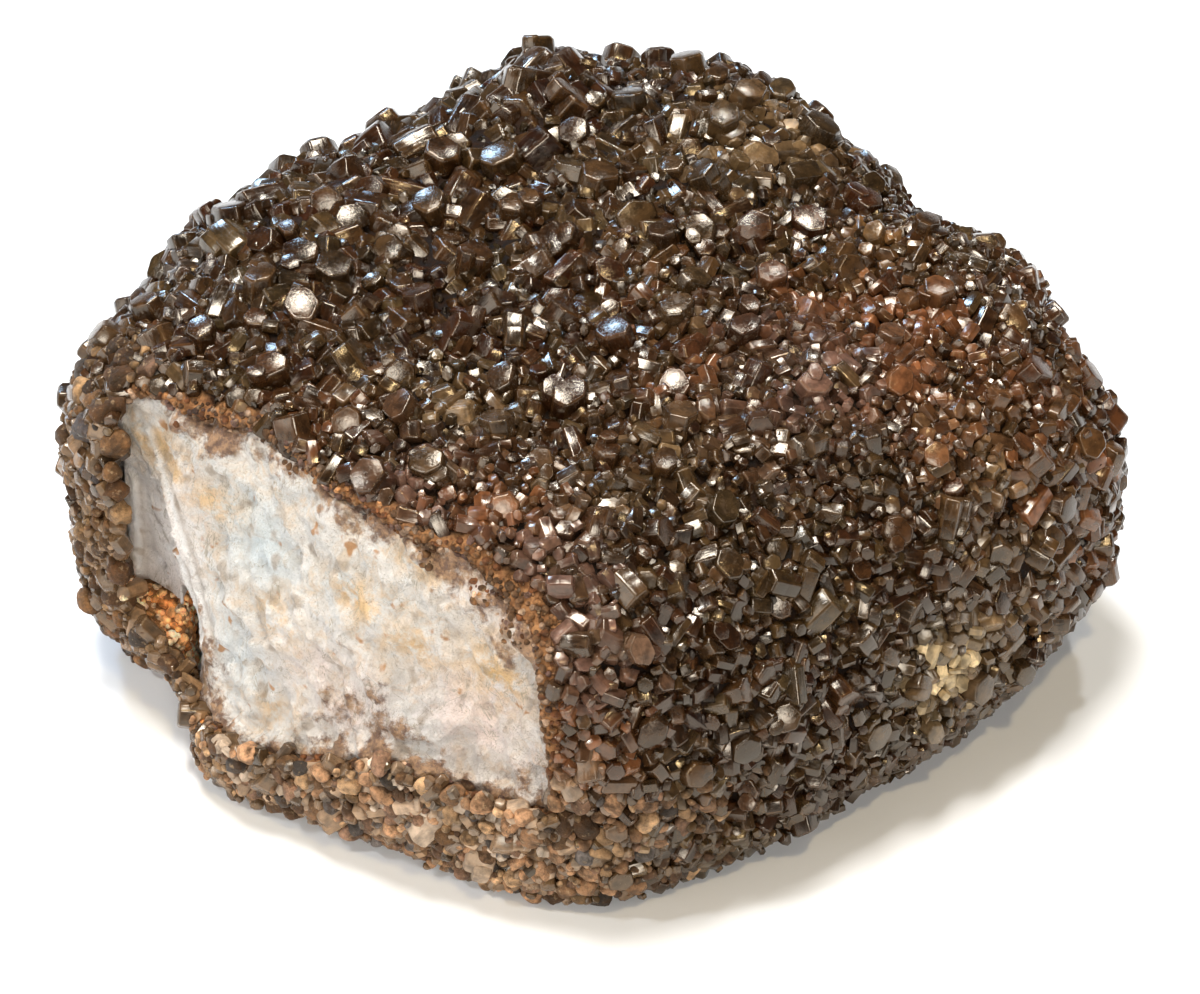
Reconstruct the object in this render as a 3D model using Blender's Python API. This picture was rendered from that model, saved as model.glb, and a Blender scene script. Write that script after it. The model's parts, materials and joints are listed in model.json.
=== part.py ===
"""A cabinet specimen of vanadinite: a block of pale baryte under a crust of stubby hexagonal crystals.

The block rests on its flat underside. X runs to the right, Y to the back and Z up, and the origin is
under the middle of the specimen. The front left is broken away and shows the baryte.
Tables are in millimetres, and MM turns them into Blender's metres.
"""

import math
import random

import bmesh
import bpy
from mathutils import Matrix, Vector, noise

MM = 0.001

# The specimen's skin, which is the level that most crystal tips reach. Each row is one direction in plan,
# anticlockwise from the right end: azimuth in degrees, reach from the axis of the widest level, the height
# of that level, how far the foot lies inside it, and how square the shoulder is.
GIRTH = (
    (0, 40.3, 13, 5, 3.0),
    (10, 37.2, 14, 4, 3.2),
    (20, 37.5, 15, 4, 3.4),
    (32, 32.3, 15, 4, 3.4),
    (45, 34.0, 15, 4, 3.4),
    (57, 35.9, 15, 4, 3.4),
    (70, 38.2, 15, 4, 3.4),
    (84, 37.5, 15, 4, 3.4),
    (98, 39.2, 15, 4, 3.4),
    (112, 35.1, 15, 4, 3.4),
    (130, 34.7, 14, 4, 3.4),
    (148, 37.3, 13, 4, 3.4),
    (164, 38.7, 12, 4, 3.4),
    (178, 40.2, 12, 3, 4.0),
    (188, 39.9, 10, 3.4, 5.0),
    (195, 37.4, 9, 5, 6.0),
    (203, 35.0, 6, 4, 6.0),
    (211, 35.0, 4, 1, 6.0),
    (218, 34.6, 5, 1, 6.0),
    (230, 32.2, 5, 1.5, 6.0),
    (248, 31.6, 4, 1.5, 6.0),
    (270, 32.3, 4, 1.5, 4.5),
    (288, 30.5, 4, 2, 3.4),
    (308, 30.0, 5, 3, 3.0),
    (328, 33.0, 7, 4, 3.0),
    (345, 36.9, 10, 5, 3.0),
)
AXIS_Y = -3.5  # the plan's middle, where the rows above are measured from
CORE = Vector((0.0, AXIS_Y, 14.0))  # every point of the skin can be seen from here

# The top: its height over the axis, its rise to the right and to the back, and its knolls and hollows,
# each as x, y, half width and height.
CROWN = 32.7
RISE = (-0.01, 0.13)
KNOLLS = (
    (-6, 21.5, 6, 1.8),
    (11, 21.5, 7, 1.6),
    (30, 1.5, 7, 1.0),
    (-26, 4.5, 9, 0.8),
    (14, 1.5, 9, -1.4),
    (-10, 0.5, 8, -0.8),
    (16, -13.5, 7, 0.9),
)

# Bulges and hollows of the sides: azimuth, height, half width in degrees, half height and how far out.
BULGES = (
    (14, 9, 9, 7, -1.6),
    (33, 17, 9, 7, 1.3),
    (48, 6, 11, 7, -2.4),
    (66, 14, 10, 8, 1.5),
    (88, 7, 12, 7, -2.2),
    (106, 15, 9, 9, 1.2),
    (124, 6, 11, 7, -2.6),
    (143, 13, 9, 8, 1.2),
    (163, 5, 9, 6, -1.6),
    (322, 16, 9, 7, -0.9),
    (298, 12, 8, 7, 0.6),
)

# The crust is one layer of crystals grown together, and the baryte fills it.
CRUST = 1.4
GAP = 0.3
LUMP = 0.7  # how far the skin's low lumps stand out
LUMP_SPAN = 9.0
SKIN_DIVISIONS = 4
CORE_DIVISIONS = 3  # for the hidden surfaces between the two
FINE_TOWARDS = Vector((-0.66, -0.73, 0.17))  # the way to the break, where their faces are halved
FINE_SPAN = math.radians(52)

# The crust stops short of the underside: its lower edge at the front, and its rise to the right and back.
HEM = 0.8
HEM_RISE = (0.045, 0.03)
HEM_WAVE = 0.6
HEM_DIVISIONS = 14

# The break at the front left, in sections from left to right: x, the height of the ledge under it, and
# its y at the ledge and at the height BREAK_TOP.
BREAK = (
    (-35.8, 9.0, -8.6, -8.6),
    (-34.3, 8.6, -9.1, -9.2),
    (-31.8, 7.5, -11.5, -10.8),
    (-30.2, 5.5, -15.5, -12.0),
    (-28.6, 6.2, -18.5, -13.1),
    (-26.8, 6.6, -20.7, -14.3),
    (-24.4, 7.0, -22.9, -15.7),
    (-21.5, 7.6, -25.0, -18.4),
    (-18.5, 9.0, -26.7, -21.3),
    (-15.5, 11.0, -28.4, -23.7),
    (-12.3, 10.6, -29.6, -25.5),
    (-9.0, 10.4, -31.2, -26.8),
    (-6.0, 10.2, -32.5, -28.7),
    (-3.0, 9.8, -33.3, -30.3),
)
BREAK_TOP = 27.0
BREAK_CEILING = 46.0  # the cutter's top, above the specimen
BREAK_REACH = 60.0  # how far it runs out to the front
LEDGE_DROP = 10.0  # how far its underside falls over that reach
BREAK_LEVELS = 9
BREAK_LEAN = 3.8  # how far the right end leans to the left over its height
BREAK_RELIEF = 0.9
BREAK_GRAIN = 5.0

# The cleft between the left lobe and the front rim, in plan, and its height.
CLEFT = ((-31.0, -8.9), (-31.4, -13.1), (-38.0, -17.5), (-38.0, -23.5), (-30.4, -23.5), (-29.9, -18.0), (-30.2, -8.9))
CLEFT_HEIGHT = 11.0

# The left lobe is crust right through: its solid part seen from the front, as x and z, and where it ends
# to the back.
LOBE = ((-50.0, -12.0), (-31.2, -12.0), (-31.2, 8.4), (-35.9, 8.8), (-35.9, 45.0), (-50.0, 45.0))
LOBE_BACK = -6.5

# Crystals that stand out of the skin: how many, their radius, and their length over their radius. They
# are larger and closer together at the back left, where the radius reaches its upper figure.
CRYSTALS = 262
RADIUS = (1.05, 1.7)
SLENDER = (1.6, 2.6)
STAND = 0.75  # how far a crystal's highest corner stands out, over its radius
LEAN = math.radians(82)
APART = (0.84, 1.5)  # least centre distance over the sum of the radii, where they are coarse and elsewhere
TRIES = 16000
COARSE_AT = Vector((-14.0, 14.5, 30.0))
COARSE_SPAN = 34.0
UNDERSIDE = -0.35  # no crystals where the skin faces down more than this
SEED = 7

CRYSTAL_BROWN = (0.085, 0.048, 0.024, 1.0)
BARYTE_WHITE = (0.72, 0.68, 0.60, 1.0)


def girth(azimuth):
    """Reach, waist height, foot inset and squareness at an azimuth in degrees, by smooth interpolation."""
    count = len(GIRTH)
    azimuth %= 360.0
    here = max(i for i in range(count) if GIRTH[i][0] <= azimuth)
    rows = [GIRTH[(here + step) % count] for step in (-1, 0, 1, 2)]
    angles = [GIRTH[(here + step) % count][0] + 360.0 * ((here + step) // count) for step in (-1, 0, 1, 2)]
    span = angles[2] - angles[1]
    t = (azimuth - angles[1]) / span
    values = []
    for a, b, c, d in zip(*(row[1:] for row in rows)):
        leaving = (c - a) / (angles[2] - angles[0]) * span
        arriving = (d - b) / (angles[3] - angles[1]) * span
        values.append(
            (2 * t**3 - 3 * t**2 + 1) * b
            + (t**3 - 2 * t**2 + t) * leaving
            + (3 * t**2 - 2 * t**3) * c
            + (t**3 - t**2) * arriving
        )
    return values


def top_height(x, y):
    height = CROWN + RISE[0] * x + RISE[1] * y
    for knoll_x, knoll_y, width, rise in KNOLLS:
        height += rise * math.exp(-((x - knoll_x) ** 2 + (y - knoll_y) ** 2) / width**2)
    return height


def within(point, row):
    """Whether a point lies inside the skin, given the girth at its azimuth."""
    reach, waist, inset, square = row
    across = math.hypot(point.x, point.y - AXIS_Y)
    if not 0 < point.z or across >= reach:
        return False
    if point.z <= waist:
        return across < reach - inset * ((waist - point.z) / waist) ** 2
    dome = (1 - (across / reach) ** square) ** (1 / square)
    return point.z < waist + (top_height(point.x, point.y) - waist) * dome


def bulge(azimuth, height):
    out = 0.0
    for centre, level, width, tall, rise in BULGES:
        aside = (azimuth - centre + 180) % 360 - 180
        out += rise * math.exp(-((aside / width) ** 2) - ((height - level) / tall) ** 2)
    return out


def skin_point(direction):
    """Where a ray from CORE leaves the specimen, with the skin's bulges and low lumps, in millimetres."""
    azimuth = math.degrees(math.atan2(direction.y, direction.x))
    row = girth(azimuth)
    near, far = 0.0, 70.0
    for _ in range(24):
        middle = (near + far) / 2
        near, far = (middle, far) if within(CORE + direction * middle, row) else (near, middle)
    point = CORE + direction * near
    if point.z > 1.0:
        out = LUMP * noise.fractal(point / LUMP_SPAN, 0.7, 2.0, 3) + bulge(azimuth, point.z)
        point += direction * out
    return point


def skin_normal(direction):
    """The way the skin faces there, from three points around it."""
    side = direction.orthogonal().normalized()
    other = direction.cross(side)
    step = 0.04
    around = [
        skin_point((direction + step * (math.cos(a) * side + math.sin(a) * other)).normalized())
        for a in (0.0, math.tau / 3, 2 * math.tau / 3)
    ]
    facing = (around[1] - around[0]).cross(around[2] - around[0]).normalized()
    return facing if facing.dot(direction) > 0 else -facing


def mesh_object(name, shape, collection):
    """The bmesh, turned from millimetres to metres, as a new object."""
    bmesh.ops.scale(shape, vec=(MM, MM, MM), verts=shape.verts)
    bmesh.ops.recalc_face_normals(shape, faces=shape.faces)
    mesh = bpy.data.meshes.new(name)
    shape.to_mesh(mesh)
    shape.free()
    made = bpy.data.objects.new(name, mesh)
    collection.objects.link(made)
    return made


def hide(helper):
    helper.hide_render = True
    helper.display_type = "WIRE"
    return helper


def direction_sphere():
    """A sphere of directions for the hidden surfaces, with small faces only where the break shows them."""
    shape = bmesh.new()
    bmesh.ops.create_icosphere(shape, subdivisions=CORE_DIVISIONS, radius=1.0)
    near = math.cos(FINE_SPAN)
    edges = [e for e in shape.edges if all(v.co.normalized().dot(FINE_TOWARDS) > near for v in e.verts)]
    bmesh.ops.subdivide_edges(shape, edges=edges, cuts=1, use_grid_fill=True)
    bmesh.ops.triangulate(shape, faces=shape.faces)
    return shape


def sunk_skin(name, shape, depth, collection, drop=0.0):
    """A sphere of directions moved to the skin and in by a depth. A drop lowers the underside."""
    for vertex in shape.verts:
        direction = vertex.co.normalized()
        point = skin_point(direction)
        if point.z < 0.01:
            vertex.co = point - Vector((direction.x, direction.y, 0.0)) * depth
            vertex.co.z -= drop
            continue
        vertex.co = point - skin_normal(direction) * depth
        if vertex.co.z < depth:
            vertex.co.z = min(vertex.co.z, point.z / 2) - drop
    return mesh_object(name, shape, collection)


def break_wall(x, z):
    """The y of the broken face at a place, and the height of the ledge under it."""
    here = max([i for i in range(len(BREAK) - 1) if BREAK[i][0] <= x], default=0)
    share = (x - BREAK[here][0]) / (BREAK[here + 1][0] - BREAK[here][0])
    ledge, y_ledge, y_top = (a + (b - a) * share for a, b in zip(BREAK[here][1:], BREAK[here + 1][1:]))
    return y_ledge + (y_top - y_ledge) * (z - ledge) / (BREAK_TOP - ledge), ledge


def in_break(point):
    """Whether a point of the skin is broken away or near the edge of what is."""
    y, ledge = break_wall(point.x, point.z)
    beside = BREAK[0][0] - 1.5 < point.x < BREAK[-1][0] + 1.0
    return beside and point.z > ledge - 1.2 and point.y < y + 0.7


def crystal_places():
    """Skin point, axis, radius, length, turn and middle of each crystal, with none sitting on another."""
    draw = random.Random(SEED)
    placed = []
    for _ in range(TRIES):
        z = draw.uniform(-1, 1)
        angle = draw.uniform(0, math.tau)
        flat = math.sqrt(1 - z * z)
        direction = Vector((flat * math.cos(angle), flat * math.sin(angle), z))
        size, slender, lean, lean_way, turn = (draw.random() for _ in range(5))
        if len(placed) == CRYSTALS:
            break
        point = skin_point(direction)
        if point.z < 2.2 or in_break(point):
            continue
        coarse = math.exp(-((point - COARSE_AT).length / COARSE_SPAN) ** 2)
        radius = RADIUS[0] + (RADIUS[1] - RADIUS[0]) * min(1.0, 0.75 * coarse + 0.5 * size)
        apart = APART[0] + (APART[1] - APART[0]) * (1 - coarse)
        if any((point - other[0]).length < apart * (radius + other[2]) for other in placed):
            continue
        facing = skin_normal(direction)
        if facing.z < UNDERSIDE:
            continue
        side = Matrix.Rotation(lean_way * math.tau, 3, facing) @ facing.orthogonal().normalized()
        axis = Matrix.Rotation(lean * LEAN, 3, side) @ facing
        length = radius * (SLENDER[0] + (SLENDER[1] - SLENDER[0]) * slender)
        along = abs(axis.dot(facing))
        buried = length / 2 * along + radius * math.sqrt(max(0.0, 1 - along**2)) - STAND * radius
        placed.append((point, axis, radius, length, turn * math.tau / 6, point - facing * buried))
    return placed


def crystals(collection):
    """All the standing crystals as hexagonal prisms in one helper mesh."""
    shape = bmesh.new()
    for _, axis, radius, length, turn, middle in crystal_places():
        upright = axis.to_track_quat("Z", "Y").to_matrix() @ Matrix.Rotation(turn, 3, "Z")
        bmesh.ops.create_cone(
            shape,
            cap_ends=True,
            segments=6,
            radius1=radius,
            radius2=radius * 0.94,
            depth=length,
            matrix=Matrix.Translation(middle) @ upright.to_4x4(),
        )
    return hide(mesh_object("standing_crystals", shape, collection))


def break_cutter(collection):
    """What is missing at the front left: a block of small faces whose back is bent to the broken face."""
    shape = bmesh.new()
    columns = len(BREAK) - 1
    bmesh.ops.create_grid(shape, x_segments=columns, y_segments=BREAK_LEVELS, size=0.5)
    front = bmesh.ops.extrude_face_region(shape, geom=list(shape.faces))["geom"]
    bmesh.ops.translate(shape, vec=(0, 0, 1), verts=[v for v in front if isinstance(v, bmesh.types.BMVert)])
    for vertex in shape.verts:
        place = vertex.co.x + 0.5
        height = vertex.co.y + 0.5
        section, ledge = BREAK[round(place * columns)][:2]
        z = ledge + (BREAK_CEILING - ledge) * height
        x = section - BREAK_LEAN * place**6 * height
        y = break_wall(section, z)[0] + BREAK_RELIEF * noise.noise(Vector((x, section, z)) / BREAK_GRAIN)
        vertex.co = (x, -BREAK_REACH, z - LEDGE_DROP * (1 - height)) if vertex.co.z > 0.5 else (x, y, z)
    return hide(mesh_object("break_cutter", shape, collection))


def hem_cutter(collection):
    """A thick slab with a gently waved top, which trims the crust's lower edge."""
    shape = bmesh.new()
    bmesh.ops.create_grid(shape, x_segments=HEM_DIVISIONS, y_segments=HEM_DIVISIONS, size=55.0)
    for vertex in shape.verts:
        x, y = vertex.co.x, vertex.co.y
        rise = HEM_RISE[0] * max(x, 0.0) + HEM_RISE[1] * max(y + 17.5, 0.0)
        vertex.co.z = max(0.4, HEM + rise + HEM_WAVE * noise.noise(Vector((x, y, 0.0)) / 9.0))
    top = list(shape.faces)
    made = bmesh.ops.extrude_face_region(shape, geom=top)["geom"]
    for vertex in (v for v in made if isinstance(v, bmesh.types.BMVert)):
        vertex.co.z = -15.0
    return hide(mesh_object("hem_cutter", shape, collection))


def extruded(name, outline, shift, collection):
    """A closed outline extruded along a vector."""
    shape = bmesh.new()
    face = shape.faces.new([shape.verts.new(corner) for corner in outline])
    made = bmesh.ops.extrude_face_region(shape, geom=[face])["geom"]
    bmesh.ops.translate(shape, vec=shift, verts=[v for v in made if isinstance(v, bmesh.types.BMVert)])
    return hide(mesh_object(name, shape, collection))


def boolean(target, operation, tool, use_self=False):
    modifier = target.modifiers.new(f"{operation.lower()} {tool.name}", "BOOLEAN")
    modifier.operation = operation
    modifier.object = tool
    modifier.solver = "EXACT"
    modifier.use_self = use_self


def material(name, colour, roughness):
    made = bpy.data.materials.new(name)
    made.use_nodes = True
    surface = made.node_tree.nodes["Principled BSDF"]
    surface.inputs["Base Color"].default_value = colour
    surface.inputs["Roughness"].default_value = roughness
    surface.inputs["Metallic"].default_value = 0.0
    return made


def main():
    for old in list(bpy.data.objects):
        bpy.data.objects.remove(old)
    specimen = bpy.data.collections.new("vanadinite specimen")
    helpers = bpy.data.collections.new("cutters")
    bpy.context.scene.collection.children.link(specimen)
    bpy.context.scene.collection.children.link(helpers)

    broken_away = break_cutter(helpers)
    cleft = extruded("cleft_cutter", [(x, y, -1.0) for x, y in CLEFT], (0, 0, CLEFT_HEIGHT + 1.0), helpers)
    hem = hem_cutter(helpers)

    rock = sunk_skin("baryte_matrix", direction_sphere(), CRUST + GAP, specimen)
    rock.data.materials.append(material("baryte", BARYTE_WHITE, 0.6))
    lobe = [(x + GAP, LOBE_BACK + GAP, z + GAP) for x, z in LOBE]
    boolean(rock, "DIFFERENCE", extruded("lobe_clearance", lobe, (0, -30, 0), helpers))
    boolean(rock, "DIFFERENCE", broken_away)
    boolean(rock, "DIFFERENCE", cleft)

    skin = bmesh.new()
    bmesh.ops.create_icosphere(skin, subdivisions=SKIN_DIVISIONS, radius=1.0)
    crust = sunk_skin("vanadinite_crust", skin, 0.0, specimen)
    crust.data.materials.append(material("vanadinite", CRYSTAL_BROWN, 0.25))
    room = hide(sunk_skin("room_for_rock", direction_sphere(), CRUST, helpers, drop=9.0))
    lobe = [(x, LOBE_BACK, z) for x, z in LOBE]
    boolean(room, "DIFFERENCE", extruded("left_lobe", lobe, (0, -30, 0), helpers))
    boolean(crust, "UNION", crystals(helpers), use_self=True)
    boolean(crust, "DIFFERENCE", room)
    boolean(crust, "DIFFERENCE", broken_away)
    boolean(crust, "DIFFERENCE", cleft)
    boolean(crust, "DIFFERENCE", hem)


if __name__ == "__main__":
    main()
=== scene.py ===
"""Vanadinite on baryte, dressed: a crust of small glassy hexagonal crystals over a broken white block.

The CAD's two solids stay in the physics. Here the crust becomes a sunk under-layer with thousands of
bevelled crystals whose tips reach the solid's skin, the largest of them where the solid has its standing
crystals, and the block becomes a fine mesh with cleavage steps on its broken face. The tables are in
millimetres.
"""

import json
import math
import random

import bmesh
import bpy
import numpy as np
from mathutils import Matrix, Vector, noise
from mathutils.bvhtree import BVHTree

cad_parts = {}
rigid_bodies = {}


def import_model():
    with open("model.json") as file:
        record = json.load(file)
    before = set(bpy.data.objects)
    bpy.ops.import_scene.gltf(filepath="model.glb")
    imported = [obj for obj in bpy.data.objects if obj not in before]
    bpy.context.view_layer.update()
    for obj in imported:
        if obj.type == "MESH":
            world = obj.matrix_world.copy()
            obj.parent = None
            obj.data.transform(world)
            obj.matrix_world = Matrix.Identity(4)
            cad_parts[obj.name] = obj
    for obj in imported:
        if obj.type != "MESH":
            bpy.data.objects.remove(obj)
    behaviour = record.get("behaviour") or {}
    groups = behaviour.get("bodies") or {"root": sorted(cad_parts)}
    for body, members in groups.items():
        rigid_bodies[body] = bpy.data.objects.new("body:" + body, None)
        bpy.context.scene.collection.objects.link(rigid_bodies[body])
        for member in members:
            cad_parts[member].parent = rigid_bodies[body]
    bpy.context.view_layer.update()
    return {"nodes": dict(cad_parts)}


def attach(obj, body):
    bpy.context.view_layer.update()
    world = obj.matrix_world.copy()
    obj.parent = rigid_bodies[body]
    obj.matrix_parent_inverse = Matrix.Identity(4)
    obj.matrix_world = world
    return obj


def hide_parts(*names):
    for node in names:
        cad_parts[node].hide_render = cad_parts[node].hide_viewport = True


for old in list(bpy.data.objects):
    bpy.data.objects.remove(old)
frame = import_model()

MM = 0.001

# The solid's skin, its broken face and its standing crystals, as the CAD has them.
GIRTH = (
    (0, 40.3, 13, 5, 3.0),
    (10, 37.2, 14, 4, 3.2),
    (20, 37.5, 15, 4, 3.4),
    (32, 32.3, 15, 4, 3.4),
    (45, 34.0, 15, 4, 3.4),
    (57, 35.9, 15, 4, 3.4),
    (70, 38.2, 15, 4, 3.4),
    (84, 37.5, 15, 4, 3.4),
    (98, 39.2, 15, 4, 3.4),
    (112, 35.1, 15, 4, 3.4),
    (130, 34.7, 14, 4, 3.4),
    (148, 37.3, 13, 4, 3.4),
    (164, 38.7, 12, 4, 3.4),
    (178, 40.2, 12, 3, 4.0),
    (188, 39.9, 10, 3.4, 5.0),
    (195, 37.4, 9, 5, 6.0),
    (203, 35.0, 6, 4, 6.0),
    (211, 35.0, 4, 1, 6.0),
    (218, 34.6, 5, 1, 6.0),
    (230, 32.2, 5, 1.5, 6.0),
    (248, 31.6, 4, 1.5, 6.0),
    (270, 32.3, 4, 1.5, 4.5),
    (288, 30.5, 4, 2, 3.4),
    (308, 30.0, 5, 3, 3.0),
    (328, 33.0, 7, 4, 3.0),
    (345, 36.9, 10, 5, 3.0),
)
AXIS_Y = -3.5  # the plan's middle, where the rows above are measured from
CORE = Vector((0.0, AXIS_Y, 14.0))  # every point of the skin can be seen from here

# The top: its height over the axis, its rise to the right and to the back, and its knolls and hollows,
# each as x, y, half width and height.
CROWN = 32.7
RISE = (-0.01, 0.13)
KNOLLS = (
    (-6, 21.5, 6, 1.8),
    (11, 21.5, 7, 1.6),
    (30, 1.5, 7, 1.0),
    (-26, 4.5, 9, 0.8),
    (14, 1.5, 9, -1.4),
    (-10, 0.5, 8, -0.8),
    (16, -13.5, 7, 0.9),
)
# Bulges and hollows of the sides: azimuth, height, half width in degrees, half height and how far out.
BULGES = (
    (14, 9, 9, 7, -1.6),
    (33, 17, 9, 7, 1.3),
    (48, 6, 11, 7, -2.4),
    (66, 14, 10, 8, 1.5),
    (88, 7, 12, 7, -2.2),
    (106, 15, 9, 9, 1.2),
    (124, 6, 11, 7, -2.6),
    (143, 13, 9, 8, 1.2),
    (163, 5, 9, 6, -1.6),
    (322, 16, 9, 7, -0.9),
    (298, 12, 8, 7, 0.6),
)
LUMP = 0.7  # how far the skin's low lumps stand out
LUMP_SPAN = 9.0
# The break at the front left, in sections from left to right: x, the height of the ledge under it, and
# its y at the ledge and at the height BREAK_TOP.
BREAK = (
    (-35.8, 9.0, -8.6, -8.6),
    (-34.3, 8.6, -9.1, -9.2),
    (-31.8, 7.5, -11.5, -10.8),
    (-30.2, 5.5, -15.5, -12.0),
    (-28.6, 6.2, -18.5, -13.1),
    (-26.8, 6.6, -20.7, -14.3),
    (-24.4, 7.0, -22.9, -15.7),
    (-21.5, 7.6, -25.0, -18.4),
    (-18.5, 9.0, -26.7, -21.3),
    (-15.5, 11.0, -28.4, -23.7),
    (-12.3, 10.6, -29.6, -25.5),
    (-9.0, 10.4, -31.2, -26.8),
    (-6.0, 10.2, -32.5, -28.7),
    (-3.0, 9.8, -33.3, -30.3),
)
BREAK_TOP = 27.0
# Crystals that stand out of the skin: how many, their radius, and their length over their radius. They
# are larger and closer together at the back left, where the radius reaches its upper figure.
CRYSTALS = 262
RADIUS = (1.05, 1.7)
SLENDER = (1.6, 2.6)
STAND = 0.75  # how far a crystal's highest corner stands out, over its radius
LEAN = math.radians(82)
APART = (0.84, 1.5)  # least centre distance over the sum of the radii, where they are coarse and elsewhere
TRIES = 16000
COARSE_AT = Vector((-14.0, 14.5, 30.0))
COARSE_SPAN = 34.0
UNDERSIDE = -0.35  # no crystals where the skin faces down more than this
LOWEST = 2.2  # no crystals below this height
CLEAR_OF_BREAK = (1.5, 1.0, 1.2, 0.7)  # nor this near the break at its left, its right, below and behind
SEED = 7


def girth(azimuth):
    """Reach, waist height, foot inset and squareness at an azimuth in degrees, by smooth interpolation."""
    count = len(GIRTH)
    azimuth %= 360.0
    here = max(i for i in range(count) if GIRTH[i][0] <= azimuth)
    rows = [GIRTH[(here + step) % count] for step in (-1, 0, 1, 2)]
    angles = [GIRTH[(here + step) % count][0] + 360.0 * ((here + step) // count) for step in (-1, 0, 1, 2)]
    span = angles[2] - angles[1]
    t = (azimuth - angles[1]) / span
    values = []
    for a, b, c, d in zip(*(row[1:] for row in rows)):
        leaving = (c - a) / (angles[2] - angles[0]) * span
        arriving = (d - b) / (angles[3] - angles[1]) * span
        values.append(
            (2 * t**3 - 3 * t**2 + 1) * b
            + (t**3 - 2 * t**2 + t) * leaving
            + (3 * t**2 - 2 * t**3) * c
            + (t**3 - t**2) * arriving
        )
    return values


def top_height(x, y):
    height = CROWN + RISE[0] * x + RISE[1] * y
    for knoll_x, knoll_y, width, rise in KNOLLS:
        height += rise * math.exp(-((x - knoll_x) ** 2 + (y - knoll_y) ** 2) / width**2)
    return height


def within(point, row):
    """Whether a point lies inside the skin, given the girth at its azimuth."""
    reach, waist, inset, square = row
    across = math.hypot(point.x, point.y - AXIS_Y)
    if not 0 < point.z or across >= reach:
        return False
    if point.z <= waist:
        return across < reach - inset * ((waist - point.z) / waist) ** 2
    dome = (1 - (across / reach) ** square) ** (1 / square)
    return point.z < waist + (top_height(point.x, point.y) - waist) * dome


def bulge(azimuth, height):
    out = 0.0
    for centre, level, width, tall, rise in BULGES:
        aside = (azimuth - centre + 180) % 360 - 180
        out += rise * math.exp(-((aside / width) ** 2) - ((height - level) / tall) ** 2)
    return out


def skin_point(direction):
    """Where a ray from CORE leaves the specimen, with the skin's bulges and low lumps, in millimetres."""
    azimuth = math.degrees(math.atan2(direction.y, direction.x))
    row = girth(azimuth)
    near, far = 0.0, 70.0
    for _ in range(24):
        middle = (near + far) / 2
        near, far = (middle, far) if within(CORE + direction * middle, row) else (near, middle)
    point = CORE + direction * near
    if point.z > 1.0:
        out = LUMP * noise.fractal(point / LUMP_SPAN, 0.7, 2.0, 3) + bulge(azimuth, point.z)
        point += direction * out
    return point


def skin_normal(direction):
    """The way the skin faces there, from three points around it."""
    side = direction.orthogonal().normalized()
    other = direction.cross(side)
    step = 0.04
    around = [
        skin_point((direction + step * (math.cos(a) * side + math.sin(a) * other)).normalized())
        for a in (0.0, math.tau / 3, 2 * math.tau / 3)
    ]
    facing = (around[1] - around[0]).cross(around[2] - around[0]).normalized()
    return facing if facing.dot(direction) > 0 else -facing


def break_wall(x, z):
    """The y of the broken face at a place, and the height of the ledge under it."""
    here = max([i for i in range(len(BREAK) - 1) if BREAK[i][0] <= x], default=0)
    share = (x - BREAK[here][0]) / (BREAK[here + 1][0] - BREAK[here][0])
    ledge, y_ledge, y_top = (a + (b - a) * share for a, b in zip(BREAK[here][1:], BREAK[here + 1][1:]))
    return y_ledge + (y_top - y_ledge) * (z - ledge) / (BREAK_TOP - ledge), ledge


def broken(point, left, right, below, behind):
    """Whether a point of the skin lies in the break or within four margins of it."""
    y, ledge = break_wall(point.x, point.z)
    beside = BREAK[0][0] - left < point.x < BREAK[-1][0] + right
    return beside and point.z > ledge - below and point.y < y + behind


def crystal_places():
    """Skin point, axis, radius, length, turn and middle of each crystal, with none sitting on another."""
    draw = random.Random(SEED)
    placed = []
    for _ in range(TRIES):
        z = draw.uniform(-1, 1)
        angle = draw.uniform(0, math.tau)
        flat = math.sqrt(1 - z * z)
        direction = Vector((flat * math.cos(angle), flat * math.sin(angle), z))
        size, slender, lean, lean_way, turn = (draw.random() for _ in range(5))
        if len(placed) == CRYSTALS:
            break
        point = skin_point(direction)
        if point.z < LOWEST or broken(point, *CLEAR_OF_BREAK):
            continue
        coarse = math.exp(-((point - COARSE_AT).length / COARSE_SPAN) ** 2)
        radius = RADIUS[0] + (RADIUS[1] - RADIUS[0]) * min(1.0, 0.75 * coarse + 0.5 * size)
        apart = APART[0] + (APART[1] - APART[0]) * (1 - coarse)
        if any((point - other[0]).length < apart * (radius + other[2]) for other in placed):
            continue
        facing = skin_normal(direction)
        if facing.z < UNDERSIDE:
            continue
        side = Matrix.Rotation(lean_way * math.tau, 3, facing) @ facing.orthogonal().normalized()
        axis = Matrix.Rotation(lean * LEAN, 3, side) @ facing
        length = radius * (SLENDER[0] + (SLENDER[1] - SLENDER[0]) * slender)
        along = abs(axis.dot(facing))
        buried = length / 2 * along + radius * math.sqrt(max(0.0, 1 - along**2)) - STAND * radius
        placed.append((point, axis, radius, length, turn * math.tau / 6, point - facing * buried))
    return placed


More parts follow.
